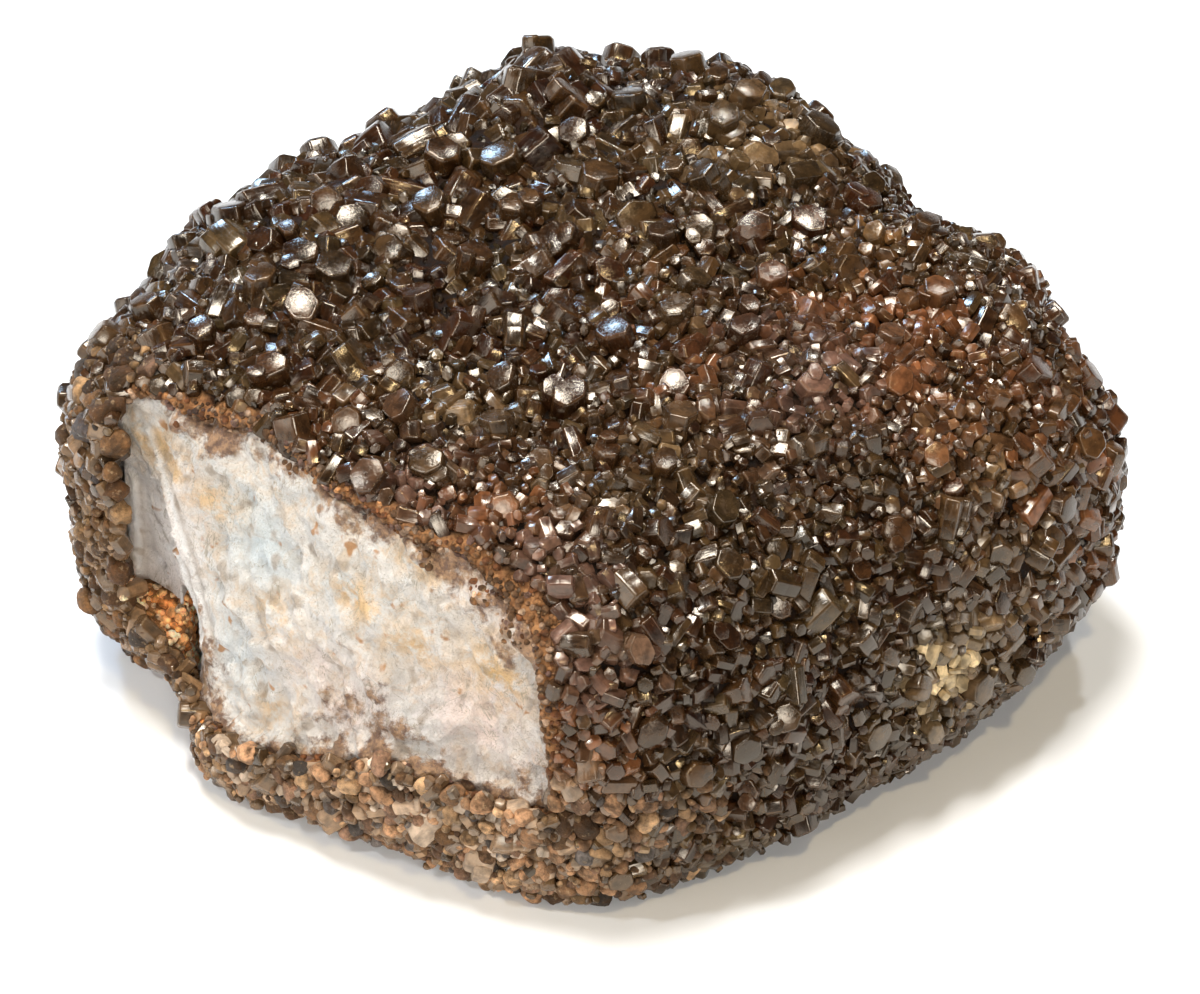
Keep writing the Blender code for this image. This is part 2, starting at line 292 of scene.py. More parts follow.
# The looks. All lengths below are in millimetres until an object is made.
SCATTER_SEED = 20
SKIN_FINE = 6
BIG_SCALE = 0.97  # a large crystal's radius and length over those of the solid's
MEDIUM = 0.84  # crystals of at least this radius have their long edges cut
UNEVEN = 0.13  # how far a prism's sides are off their mean distance from its axis
CUT = 0.13  # the share of a side that a cut edge takes at each end
CAP, SIDE, BEVEL = 0, 1, 2  # the kinds of faces that a prism has
FULL, CAPPED, PLAIN = (
    ("cap", "shoulder", "waist", "shoulder", "cap"),
    ("cap", "shoulder", "shoulder", "cap"),
    ("shoulder", "shoulder"),
)  # the rings of corners along large, smaller and filling crystals
DOMED = 0.17  # how far the shading of a crystal face bends outwards at its corners
PACKING = 0.62  # least centre distance of small crystals over the sum of their radii
UNDER_DEPTH = 0.95  # how far the under-layer lies below the crystal tips
UNDER_VOXEL = 0.55
ROCK_VOXEL = 0.42
LOBE_END = -33  # the x at which the left lobe ends
LEDGE = (-29.5, 11)  # the right end and the top of the warm ledge at its foot, partly painted light
CLEFT = ((-38.0, -30.0), (-23.5, -8.9), (0.0, 11.0))  # the cleft's inside, in x, y and z
DARK_LUMPS = (-38.3, -10.3, 23.3)  # where the lobe has its few dark grey lumps
DARK_RADIUS = 1.5
LOBE = ((-37.0, -13.0, 8.0), 13.0)  # where the lobe's knobs gather, and how widely
FOOT = (242, 33, 12)  # the knobs along the foot: middle azimuth, half width in degrees and greatest height
SMOOTH = (-28.9, 22)  # the broken face is smooth to the left of this x and below this height
FACET = (-36.5, -29.3, 23)  # the pale facet's left and right ends and its top; its pinkish white is laid on brighter as painted light
NICK = (-33.2, 11.5, 0.35, 0.9)  # a pit in the facet: x, z, half width and depth

# How many places are drawn for each kind of crystal or grain, before those too near to others go.
SMALL_TRIES = 130000
FILLING_TRIES = 40000
KNOB_TRIES = 14000
EDGE_TRIES = 9000
STAIN_TRIES = 2500

# Sizes of the small crystals: a mean radius away from all zones, and what each zone adds, as x, y, z, half
# width and rise.
FINE_RADIUS = 0.44
SIZE_ZONES = (
    (-14, 14.5, 32, 25, 0.46),
    (-30, 2, 24, 12, 0.20),
    (36, -9, 16, 13, 0.28),
    (10, -28, 17, 13, 0.22),
    (0, 38, 10, 30, 0.20),
)

# Colours, as linear red, green and blue, and where they gather: x, y, z, half width, share and colour.
BROWNS = ((0.025, 0.010, 0.0032), (0.029, 0.015, 0.005), (0.020, 0.006, 0.002), (0.038, 0.023, 0.009))
GOLDEN = (0.26, 0.125, 0.04)
RUST = (0.115, 0.040, 0.014)
TAN = (0.165, 0.100, 0.046)
ROSE = (0.105, 0.054, 0.037)
EARTH = (0.17, 0.095, 0.044)
PALE = (0.52, 0.41, 0.31)
COLOUR_ZONES = (
    (14.7, 17.1, 33, 5, 0.45, TAN),
    (9.5, 14, 34, 5, 0.40, TAN),
    (21.3, 3.9, 31.5, 2.6, 0.35, GOLDEN),
    (16, -2.4, 30.6, 4, 0.60, RUST),
    (21.8, -5.6, 30.3, 5, 0.75, RUST),
    (17.1, -11.7, 30.4, 4.5, 0.70, ROSE),
    (11.6, -6.5, 31, 4, 0.30, ROSE),
    (25.9, -10.9, 27.9, 5, 0.70, RUST),
    (28.7, -14.9, 23.8, 4.5, 0.35, TAN),
    (11.3, -15.5, 29.8, 4.5, 0.30, ROSE),
    (5, -11, 31, 4.5, 0.30, RUST),
    (3, 1.2, 32.5, 5, 0.16, RUST),
    (34, 3.6, 26, 4, 0.40, RUST),
    (33, -8.2, 25.8, 5.5, 0.35, RUST),
    (35, -9, 16, 12, 0.30, RUST),
    (30, -17.5, 13, 7, 0.28, TAN),
    (25.6, -22, 11.3, 2.5, 1.7, (0.60, 0.45, 0.25)),
    (-9.9, -14.6, 30.9, 2.6, 0.55, TAN),
    (-21.1, -16.7, 29.8, 4, 0.35, RUST),
    (-12.4, -21.9, 29.6, 3.5, 1, ROSE),
    (-6.9, -23.7, 29.3, 4, 1, RUST),
    (-2.7, -28.5, 27, 3.8, 1, ROSE),
    (-2, -33.5, 22.5, 4, 1, ROSE),
    (-0.7, -35.3, 15.8, 3.8, 0.9, RUST),
    (2, -20, 29.5, 7, 0.14, TAN),
    (3, -35.5, 6.5, 6, 0.20, TAN),
    (-37.5, -12, 17, 8, 1.6, EARTH),
    (-37, -12, 9, 9, 1.6, EARTH),
    (-26.5, -25.5, 5, 6.5, 2.2, EARTH),
    (-18, -30.5, 5.5, 7, 2.2, EARTH),
    (-9, -34.5, 6, 7, 1.8, EARTH),
    (-24, -27.5, 6, 4.5, 0.35, PALE),
    (-14, -32.5, 8, 5, 0.40, PALE),
    (-5, -35, 7.5, 5, 0.30, PALE),
)
# The grains along the break and the knobs, each with the shares of its shades, and the shades of the ledge:
# its own orange, made brighter as painted light where the ledge lies in shade.
RIM_SHADES = (RUST, (0.14, 0.068, 0.031), (0.23, 0.105, 0.040), (0.31, 0.20, 0.13), (0.12, 0.066, 0.052))
RIM_SHARES = (0.25, 0.3, 0.15, 0.2, 0.1)
LEDGE_SHADES = ((0.78, 0.28, 0.08), (0.80, 0.38, 0.15), (0.86, 0.60, 0.38))
KNOB_SHADES = ((0.22, 0.107, 0.043), (0.33, 0.19, 0.087), (0.12, 0.053, 0.021), (0.06, 0.047, 0.040))
KNOB_SHARES = (0.45, 0.17, 0.28, 0.10)

# Thin ridges on the left of the broken face: x and z of both ends, half width and height. Along each ridge
# the rock's colour gets a painted highlight, and just beside it a painted shade.
RIDGES = (
    ((-28.7, 9.0), (-30.6, 17.5), 0.30, 0.42),
    ((-30.6, 17.5), (-33.0, 25.0), 0.35, 0.30),
    ((-29.4, 9.0), (-31.2, 15.0), 0.22, 0.30),
    ((-31.2, 15.0), (-32.2, 14.0), 0.22, 0.25),
    ((-35.0, 8.5), (-34.6, 19.0), 0.30, 0.35),
)
# Clouds of colour on the broken face: x, z, half width, half height and strength.
CLOUDS = {
    "cool": (
        (-24.5, 21, 3, 3.4, 1),
        (-19, 22, 3, 3, 0.3),
        (-26.5, 11.5, 2.2, 3.2, 0.7),
        (-13, 11.5, 2.5, 3, 0.5),
    ),
    "peach": (
        (-18.5, 13, 4.5, 3.8, 0.8),
        (-8.5, 14.5, 4.5, 4.6, 1),
        (-7, 25, 3, 3, 0.6),
        (-30, 22, 2, 2.5, 0.4),
    ),
    "ochre": (
        (-32, 23.5, 2.6, 2, 1),
        (-28, 22, 2.6, 1.6, 0.8),
        (-23.5, 16, 2.2, 1.8, 0.7),
        (-17, 21, 2.4, 1.7, 0.9),
        (-12, 25.5, 2.2, 1.6, 0.8),
        (-13, 19, 2.4, 1.8, 0.8),
        (-7.2, 19.2, 2.3, 2.8, 1),
        (-24, 8.6, 1.6, 1.2, 0.7),
    ),
}

FLOOR = 0.9  # half the floor's side, in metres
# The lamps, all turned to LAMPS_AT: name, place, width and height in metres, power and colour.
LAMPS_AT = (0.0, 0.0, 0.015)
LAMPS = (
    ("overhead", (-0.10, 0.12, 0.85), (0.22, 0.22), 8.5, (1.0, 0.985, 0.96)),
    ("front_fill", (0.10, -0.84, 0.50), (0.30, 0.30), 4.6, (1.0, 0.97, 0.93)),
    ("window", (-0.30, 0.50, 0.48), (0.08, 0.11), 2.6, (0.42, 0.66, 1.0)),
    ("lamp_cool", (0.20, 0.30, 0.62), (0.04, 0.04), 1.3, (0.93, 0.97, 1.0)),
    ("lamp_left", (-0.42, -0.10, 0.50), (0.04, 0.04), 1.2, (0.9, 0.95, 1.0)),
    ("left_fill", (-0.75, -0.45, 0.40), (0.50, 0.50), 2.9, (1.0, 0.96, 0.93)),
    ("lamp_warm", (0.10, -0.28, 0.66), (0.045, 0.045), 1.2, (1.0, 0.80, 0.48)),
)


def unit(vectors):
    return vectors / np.maximum(np.linalg.norm(vectors, axis=-1, keepdims=True), 1e-12)


def near_zone(points, place, width):
    """A soft blob of influence round a place."""
    return np.exp(-np.sum((points - np.array(place)) ** 2, axis=1) / width**2)


def fractal(points, span, depth=3, seed=0.0):
    """Smooth noise of the points, about -1 to 1."""
    shift = Vector((seed, seed * 1.7, -seed))
    return np.array([noise.fractal(Vector(p) / span + shift, 0.9, 2.0, depth) for p in points])


def walls_at(points):
    """The y of the broken face and the height of the ledge under it, for the x and z of each point."""
    return np.array([break_wall(x, z) for x, _, z in points]).T


def linked(name, data):
    """A new object in the scene."""
    made = bpy.data.objects.new(name, data)
    bpy.context.scene.collection.objects.link(made)
    return made


def object_from(name, mesh, material):
    """A mesh in millimetres as a piece that rides with the specimen."""
    mesh.transform(Matrix.Scale(MM, 4))
    mesh.materials.append(material)
    made = linked(name, mesh)
    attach(made, "root")
    return made


def mesh_from(name, points, loops, starts):
    """A mesh from flat arrays of corners and of where each face starts."""
    mesh = bpy.data.meshes.new(name)
    mesh.vertices.add(len(points))
    mesh.vertices.foreach_set("co", points.astype(np.float32).ravel())
    mesh.loops.add(len(loops))
    mesh.loops.foreach_set("vertex_index", loops.astype(np.int32))
    mesh.polygons.add(len(starts))
    mesh.polygons.foreach_set("loop_start", starts.astype(np.int32))
    mesh.update(calc_edges=True)
    return mesh


def write_attribute(mesh, name, values, kind="FLOAT", domain="POINT"):
    """Writes values, vectors or opaque colours on a mesh's points or corners."""
    if kind == "FLOAT_COLOR":
        values = np.concatenate([values, np.ones((*values.shape[:-1], 1))], axis=-1)
    attribute = mesh.attributes.new(name, kind, domain)
    key = {"FLOAT_COLOR": "color", "FLOAT_VECTOR": "vector", "FLOAT": "value"}[kind]
    attribute.data.foreach_set(key, np.ascontiguousarray(values, np.float32).ravel())


def rows_of(items, name, kind):
    """What each of a mesh's items has under a name, as rows of three."""
    values = np.empty(len(items) * 3, kind)
    items.foreach_get(name, values)
    return values.reshape(-1, 3)


def mesh_arrays(mesh):
    """Points, triangles and the points' normals of a mesh."""
    mesh.calc_loop_triangles()
    points, normals = (rows_of(mesh.vertices, name, np.float32).astype(float) for name in ("co", "normal"))
    return points, rows_of(mesh.loop_triangles, "vertices", np.int32), normals


def write_points(mesh, points, lowest):
    """Moves a mesh's points, none of them below a height."""
    points[:, 2] = np.maximum(points[:, 2], lowest)
    mesh.vertices.foreach_set("co", points.astype(np.float32).ravel())
    mesh.update()


def fine_skin():
    """The skin as a fine mesh, and a tree of it to measure depths from."""
    shape = bmesh.new()
    bmesh.ops.create_icosphere(shape, subdivisions=SKIN_FINE, radius=1.0)
    for vertex in shape.verts:
        vertex.co = skin_point(vertex.co.normalized())
    bmesh.ops.recalc_face_normals(shape, faces=shape.faces)
    shape.normal_update()
    mesh = bpy.data.meshes.new("skin")
    shape.to_mesh(mesh)
    tree = BVHTree.FromBMesh(shape)
    shape.free()
    return mesh_arrays(mesh), tree


def open_skin(skin, lowest, steepest, margin):
    """1 for each face of the skin that is high enough, not too steep and clear of the break, else 0."""
    points, faces, normals = skin
    middle = points[faces].mean(axis=1)
    whole = np.array([not broken(Vector(p), *[margin] * 4) for p in middle])
    return 1.0 * ((middle[:, 2] > lowest) & (normals[faces].mean(axis=1)[:, 2] > steepest) & whole)


def face_vectors(corners):
    """Vectors square to triangles, as long as twice their area."""
    return np.cross(corners[:, 1] - corners[:, 0], corners[:, 2] - corners[:, 0])


def scatter(points, faces, normals, weights, count, draw):
    """Random places on a triangle mesh, more where its faces weigh more, and the way it faces there."""
    corners = points[faces]
    share = np.linalg.norm(face_vectors(corners), axis=1) * weights
    pick = draw.choice(len(faces), count, p=share / share.sum())
    a, b = draw.random((2, count))
    over = a + b > 1
    a, b = np.where(over, 1 - a, a), np.where(over, 1 - b, b)
    mix = np.stack([1 - a - b, a, b], axis=1)[:, :, None]
    return (corners[pick] * mix).sum(axis=1), unit((normals[faces[pick]] * mix).sum(axis=1))


def keep_apart(places, facing, radii, apart, taken=()):
    """Those places, in order, that aren't within apart times both radii of one kept before or taken."""
    cell = 2 * apart * float(radii.max())
    around = [(i, j, k) for i in (-1, 0, 1) for j in (-1, 0, 1) for k in (-1, 0, 1)]
    grid = {}

    def clear(x, y, z, radius):
        i, j, k = int(x // cell), int(y // cell), int(z // cell)
        for di, dj, dk in around:
            for ox, oy, oz, other in grid.get((i + di, j + dj, k + dk), ()):
                least = apart * (radius + other)
                if (x - ox) ** 2 + (y - oy) ** 2 + (z - oz) ** 2 < least * least:
                    return False
        return True

    def take(*ball):
        grid.setdefault(tuple(int(c // cell) for c in ball[:3]), []).append(ball)

    for place, radius in taken:
        take(*place, radius)
    kept = []
    for index, (place, radius) in enumerate(zip(places.tolist(), radii.tolist())):
        if clear(*place, radius):
            take(*place, radius)
            kept.append(index)
    return places[kept], facing[kept], radii[kept]


def largest_first(places, facing, size, loose, draw):
    """The same places in about the order of their sizes."""
    order = np.argsort(-size + draw.uniform(0, loose, len(size)), kind="stable")
    return places[order], facing[order], size[order]


def square_to(axis, draw):
    """A random direction square to each axis."""
    other = np.where(np.abs(axis[:, 2:]) < 0.9, [[0.0, 0.0, 1.0]], [[1.0, 0.0, 0.0]])
    side = unit(np.cross(axis, other))
    turn = draw.uniform(0, math.tau, len(axis))[:, None]
    return side * np.cos(turn) + np.cross(axis, side) * np.sin(turn)


def leaned(facing, most, draw):
    """Axes leaned from where the surface faces, by up to an angle, in any direction."""
    side = square_to(facing, draw)
    lean = (most * draw.random(len(facing)) ** 0.5)[:, None]
    return facing * np.cos(lean) + side * np.sin(lean)


def picked(shades, count, draw, shares=None):
    """Random rows of a table of colours."""
    return np.array(shades)[draw.choice(len(shades), count, p=shares)]


def browns(points, draw):
    """A colour for each crystal: one of the browns, or more and more often a zone's own colour near it."""
    count = len(points)
    share = draw.random(count)[:, None]
    first = picked(BROWNS, count, draw, (0.4, 0.3, 0.2, 0.1))
    colour = first + (picked(BROWNS, count, draw) - first) * share * 0.5
    patch = np.clip(0.85 + 1.2 * fractal(points, 2.4, 2, 40.0), 0.12, 2.0)
    for *place, width, most, zone in COLOUR_ZONES:
        mix = near_zone(points, place, width) * most * patch * draw.exponential(1.0, count)
        mix = np.clip(mix, 0, 0.92)[:, None]
        colour = colour + (np.array(zone) - colour) * mix
    return colour * draw.uniform(0.55, 1.3, count)[:, None]


def hexagons(count, cut, draw):
    """Uneven hexagons of about unit radius, as (count, points, 2), with two points a corner if cut."""
    angles = np.arange(6) * math.tau / 6
    normals = np.stack([np.cos(angles), np.sin(angles)], axis=1)
    along = np.stack([-np.sin(angles), np.cos(angles)], axis=1)
    reach = math.cos(math.tau / 12) * (1 + UNEVEN * draw.uniform(-1, 1, (count, 6)))
    slide = (np.roll(reach, -1, axis=1) - reach * 0.5) / math.sin(math.tau / 6)
    corners = reach[:, :, None] * normals + slide[:, :, None] * along
    if not cut:
        return corners
    before = np.roll(corners, 1, axis=1)
    pair = np.stack([before + (corners - before) * cut, corners + (before - corners) * cut], axis=2)
    return pair.reshape(count, 12, 2)


def prism_faces(rings, sides, cut):
    """The corners of a prism's faces, where each face starts among them, and the faces' kinds."""
    loops, starts, kinds = [], [], []
    for ring in range(len(rings) - 1):
        low, high = ring * sides, (ring + 1) * sides
        for i in range(sides):
            j = (i + 1) % sides
            starts.append(len(loops))
            loops += [low + i, low + j, high + j, high + i]
            kinds.append(BEVEL if "cap" in rings[ring : ring + 2] or (cut and i % 2) else SIDE)
    for ring in (0, len(rings) - 1):
        starts.append(len(loops))
        turn = [ring * sides + i for i in range(sides)]
        loops += turn if ring else turn[::-1]
        kinds.append(CAP)
    return np.array(loops), np.array(starts), np.array(kinds)


def crystal_piece(name, crystals, rings, cut, material, draw):
    """Many bevelled hexagonal prisms as one mesh. The crystals are a dict of arrays, one row for each."""
    radius, share = crystals["radius"][:, None], crystals["bevel"][:, None]
    count = len(radius)
    outline = hexagons(count, cut, draw)
    half = crystals["length"][:, None] / 2
    taper = draw.uniform(0.88, 1.0, (count, 2))
    tilt = draw.normal(0, 0.07, (count, 2, 2))
    local = []
    for index, ring in enumerate(rings):
        end = int(index >= (len(rings) - 1) / 2)
        at, scale = {
            "cap": (half, taper[:, end : end + 1] * (1 - 1.05 * share)),
            "shoulder": (half - share * radius, taper[:, end : end + 1]),
            "waist": (half * 0, np.ones_like(half)),
        }[ring]
        flat = outline * scale[:, :, None] * radius[:, :, None]
        slope = np.einsum("npk,nk->np", flat, tilt[:, end]) * (ring != "waist")
        local.append(np.concatenate([flat, (at * (2 * end - 1) + slope)[:, :, None]], axis=2))
    local = np.concatenate(local, axis=1)
    axis, across = crystals["axis"], crystals["across"]
    third = np.cross(axis, across)
    stretch = draw.uniform(0.85, 1.15, (count, 1))
    world = (
        crystals["centre"][:, None]
        + local[:, :, 0:1] * (across * stretch)[:, None]
        + local[:, :, 1:2] * (third / stretch)[:, None]
        + local[:, :, 2:3] * axis[:, None]
    )
    world[:, :, 2] = np.maximum(world[:, :, 2], 0.0)
    loops, starts, kinds = prism_faces(rings, outline.shape[1], cut)
    number = np.arange(count)[:, None]
    all_loops = (loops + number * local.shape[1]).ravel()
    mesh = mesh_from(name, world.reshape(-1, 3), all_loops, (starts + number * len(loops)).ravel())
    round_the_bevels(mesh, world, loops, starts, kinds)
    colour = crystals["colour"][:, None] * draw.uniform(0.85, 1.18, (count, len(kinds)))[:, :, None]
    colour = np.where((kinds == CAP)[:, None], colour * np.array([1.2, 1.22, 1.25]), colour)
    # Painted highlight: the bevels are tinted golden brown, as light glowing through thin crystal edges.
    bright = colour + (np.array(GOLDEN) - colour) * crystals["edge"][:, None, None]
    colour = np.where((kinds == BEVEL)[:, None], bright, colour)
    lengths = np.diff(np.append(starts, len(loops)))
    write_attribute(mesh, "tint", np.repeat(colour, lengths, axis=1), "FLOAT_COLOR", "CORNER")
    write_attribute(mesh, "grain", local + draw.uniform(0, 200, (count, 1, 3)), "FLOAT_VECTOR")
    object_from(name, mesh, material)


def round_the_bevels(mesh, world, loops, starts, kinds):
    """Slightly domed normals on caps and sides, and on bevels normals that turn from one to the next."""
    spans = list(zip(starts, np.append(starts[1:], len(loops))))
    flat, owner = {}, {}
    for face, (start, end) in enumerate(spans):
        if kinds[face] != BEVEL:
            a, b, c = (world[:, loops[start + k]] for k in (0, 1, 2))
            flat[face] = unit(np.cross(b - a, c - a))
            for loop in loops[start:end]:
                owner.setdefault(int(loop), []).append(face)
    normals = np.zeros((len(world), len(loops), 3))
    for face, (start, end) in enumerate(spans):
        middle = world[:, loops[start:end]].mean(axis=1)
        for k in range(start, end):
            if kinds[face] == BEVEL:
                normals[:, k] = unit(sum(flat[f] for f in owner[int(loops[k])]))
            else:
                normals[:, k] = unit(flat[face] + DOMED * unit(world[:, loops[k]] - middle))
    mesh.shade_smooth()
    mesh.normals_split_custom_set(normals.reshape(-1, 3).astype(np.float32))


def worn_and_edge_lit(crystals, bevel, edge, draw):
    """The crystals, each with a bevel, over its radius, and a share of golden brown painted on its bevels
    as light glowing through thin edges.
    """
    count = len(crystals["radius"])
    crystals["bevel"] = draw.uniform(*bevel, count)
    crystals["edge"] = draw.uniform(*edge, count)
    return crystals


def large_crystals(draw):
    """The solid's standing crystals, a little slimmer, and beside most of them a smaller one in line."""
    rows = crystal_places()
    count = len(rows)
    place, axis, radius, length, _, middle = (np.array(column) for column in zip(*rows))
    across = []
    for _, way, _, _, turn, _ in rows:
        upright = way.to_track_quat("Z", "Y").to_matrix() @ Matrix.Rotation(turn, 3, "Z")
        across.append(tuple(upright.col[0]))
    across = np.array(across)
    out = unit(middle - np.array(tuple(CORE)))
    colour = browns(place, draw)
    beside = draw.random(count) < 0.6
    turn = draw.uniform(0, math.tau, count)[:, None]
    aside = across * np.cos(turn) + np.cross(axis, across) * np.sin(turn)
    small = draw.uniform(0.45, 0.75, count)
    along = length * draw.uniform(-0.3, 0.25, count)
    pairs = {
        "centre": (middle - out * 0.15, middle + aside * (radius * 0.75)[:, None] + axis * along[:, None]),
        "axis": (axis, axis),
        "across": (across, across),
        "radius": (radius * BIG_SCALE, radius * BIG_SCALE * small),
        "length": (length * BIG_SCALE, length * draw.uniform(0.5, 0.85, count)),
        "colour": (colour, colour * 1.1),
    }
    joined = {key: np.concatenate([big, twin[beside]]) for key, (big, twin) in pairs.items()}
    return worn_and_edge_lit(joined, (0.12, 0.24), (0.0, 0.09), draw), place, radius


def rooted(places, facing, size, lean, slender, stand, rise, draw):
    """Crystals on the skin, as a dict: leaned by up to lean degrees, slender times as long as their radius,
    and with their highest corner standing out, by rise times their radius more."""
    axis = leaned(facing, math.radians(lean), draw)
    length = size * draw.uniform(*slender, len(size))
    out = draw.uniform(*stand, len(size)) + rise * size
    along = np.abs(np.sum(axis * facing, axis=1))
    reach = length / 2 * along + size * np.sqrt(np.maximum(0, 1 - along**2))
    return {
        "centre": places - facing * (reach - out)[:, None],
        "axis": axis,
        "across": square_to(axis, draw),
        "radius": size,
        "length": length,
        "colour": browns(places, draw),
    }


def small_crystals(skin, place, radius, draw):
    """Crystals of all smaller sizes, crowded over the rest of the skin."""
    places, facing = scatter(*skin, open_skin(skin, 0.9, -0.75, 0.35), SMALL_TRIES, draw)
    size = np.full(len(places), FINE_RADIUS)
    for *spot, width, rise in SIZE_ZONES:
        size += rise * near_zone(places, spot, width)
    size *= np.clip(np.exp(draw.normal(0, 0.27, len(size))), 0.55, 1.9)
    ordered = largest_first(places, facing, size, 0.5, draw)
    kept = keep_apart(*ordered, PACKING, list(zip(place.tolist(), (radius * 0.45).tolist())))
    return worn_and_edge_lit(rooted(*kept, 85, (1.5, 3.0), (-0.40, 0.25), 0.15, draw), (0.18, 0.36), (0.0, 0.08), draw)


def filling_crystals(skin, draw):
    """Tiny crystals deep in the gaps between the others, darkened as painted shade of the gaps."""
    places, facing = scatter(*skin, open_skin(skin, 1.5, -0.6, 0.6), FILLING_TRIES, draw)
    kept = keep_apart(places, facing, draw.uniform(0.30, 0.52, len(places)), 1.05)
    filling = rooted(*kept, 60, (2.0, 3.2), (-0.75, -0.25), 0.0, draw)
    # Painted shade: the colour is darkened because these crystals sit deep in the gaps.
    filling["colour"] *= 0.35
    return worn_and_edge_lit(filling, (0.16, 0.32), (0.0, 0.2), draw)


def depth_below(tree, points):
    """How far each point lies below the skin, and the way the skin faces there."""
    depths, ways = np.empty(len(points)), np.empty((len(points), 3))
    for i, point in enumerate(points):
        found, way, _, _ = tree.find_nearest(Vector(point))
        ways[i] = way
        depths[i] = (found - Vector(point)).dot(way)
    return depths, ways


def modified(helper, kind, **settings):
    """A new mesh of a helper object with one modifier on it. The helper goes."""
    change = helper.modifiers.new(kind, kind)
    for key, value in settings.items():
        setattr(change, key, value)
    made = bpy.data.meshes.new_from_object(helper.evaluated_get(bpy.context.evaluated_depsgraph_get()))
    bpy.data.objects.remove(helper)
    return made


def remeshed(node, voxel):
    """A closed copy of a CAD node in millimetres, in even small faces."""
    shape = bmesh.new()
    shape.from_mesh(frame["nodes"][node].data)
    bmesh.ops.remove_doubles(shape, verts=shape.verts, dist=1e-7)
    bmesh.ops.scale(shape, vec=(1 / MM,) * 3, verts=shape.verts)
    mesh = bpy.data.meshes.new(node + "_copy")
    shape.to_mesh(mesh)
    shape.free()
    return modified(linked("helper", mesh), "REMESH", mode="VOXEL", voxel_size=voxel)


def thinned(mesh, ratio, guard):
    """The mesh with fewer faces, most of them taken where the guard, a number for each vertex, is low."""
    helper = linked("helper", mesh)
    group = helper.vertex_groups.new(name="loose")
    for level in range(1, 11):
        chosen = np.flatnonzero(np.round((1 - guard) * 10).astype(int) == level)
        if len(chosen):
            group.add(chosen.tolist(), level / 10, "REPLACE")
    return modified(helper, "DECIMATE", ratio=ratio, vertex_group="loose")


def crust_under(tree):
    """The under-layer: the solid's crust, with all that stood above a level pressed down to it."""
    mesh = remeshed("vanadinite_crust", UNDER_VOXEL)
    points = mesh_arrays(mesh)[0]
    depth, way = depth_below(tree, points)
    rough = 0.18 * fractal(points, 1.1) + 0.12 * fractal(points, 3.0, 2, 5.0)
    push = np.where(depth < UNDER_DEPTH, UNDER_DEPTH - depth, 0.0)
    push += np.where((depth > 1.2) & (depth < 2.2), 0.35, 0.0)
    points = points - way * (push + rough)[:, None]
    write_points(mesh, points, 0.1)
    mesh = thinned(mesh, 0.45, np.zeros(len(points)))
    mesh.shade_smooth()
    return mesh


def faces_open(points, faces):
    """1 for each face that looks into the broken-away space or into the cleft, else 0."""
    corners = points[faces]
    before = corners.mean(axis=1) + unit(face_vectors(corners)) * 0.9
    x, y, z = before.T
    wall, ledge = walls_at(before)
    void = (x > BREAK[0][0]) & (x < BREAK[-1][0] + 0.5) & (z > ledge - 0.7) & (y < wall)
    low, high = np.array(CLEFT).T
    return 1.0 * (void | ((before > low) & (before < high)).all(axis=1))


def step_up(value, sharp):
    """Turns a ramp into stairs of unit height with short risers."""
    whole = np.floor(value)
    rest = np.clip((value - whole - 0.5) * sharp + 0.5, 0, 1)
    return whole + rest * rest * (3 - 2 * rest)


def ridge(x, z, low, high, width):
    """A thin straight ridge on the broken face between two points in x and z."""
    a, b = np.array(low), np.array(high)
    way = b - a
    spot = np.stack([x, z], axis=1)
    t = np.clip((spot - a) @ way / (way @ way), 0, 1)
    return np.exp(-np.sum((spot - a - t[:, None] * way) ** 2, axis=1) / width**2)


def blobs(x, z, clouds):
    """Soft spots on the broken face, each as x, z, half width, half height and strength."""
    total = np.zeros(len(x))
    for at, level, wide, tall, most in clouds:
        total = np.maximum(total, most * np.exp(-(((x - at) / wide) ** 2) - ((z - level) / tall) ** 2))
    return total


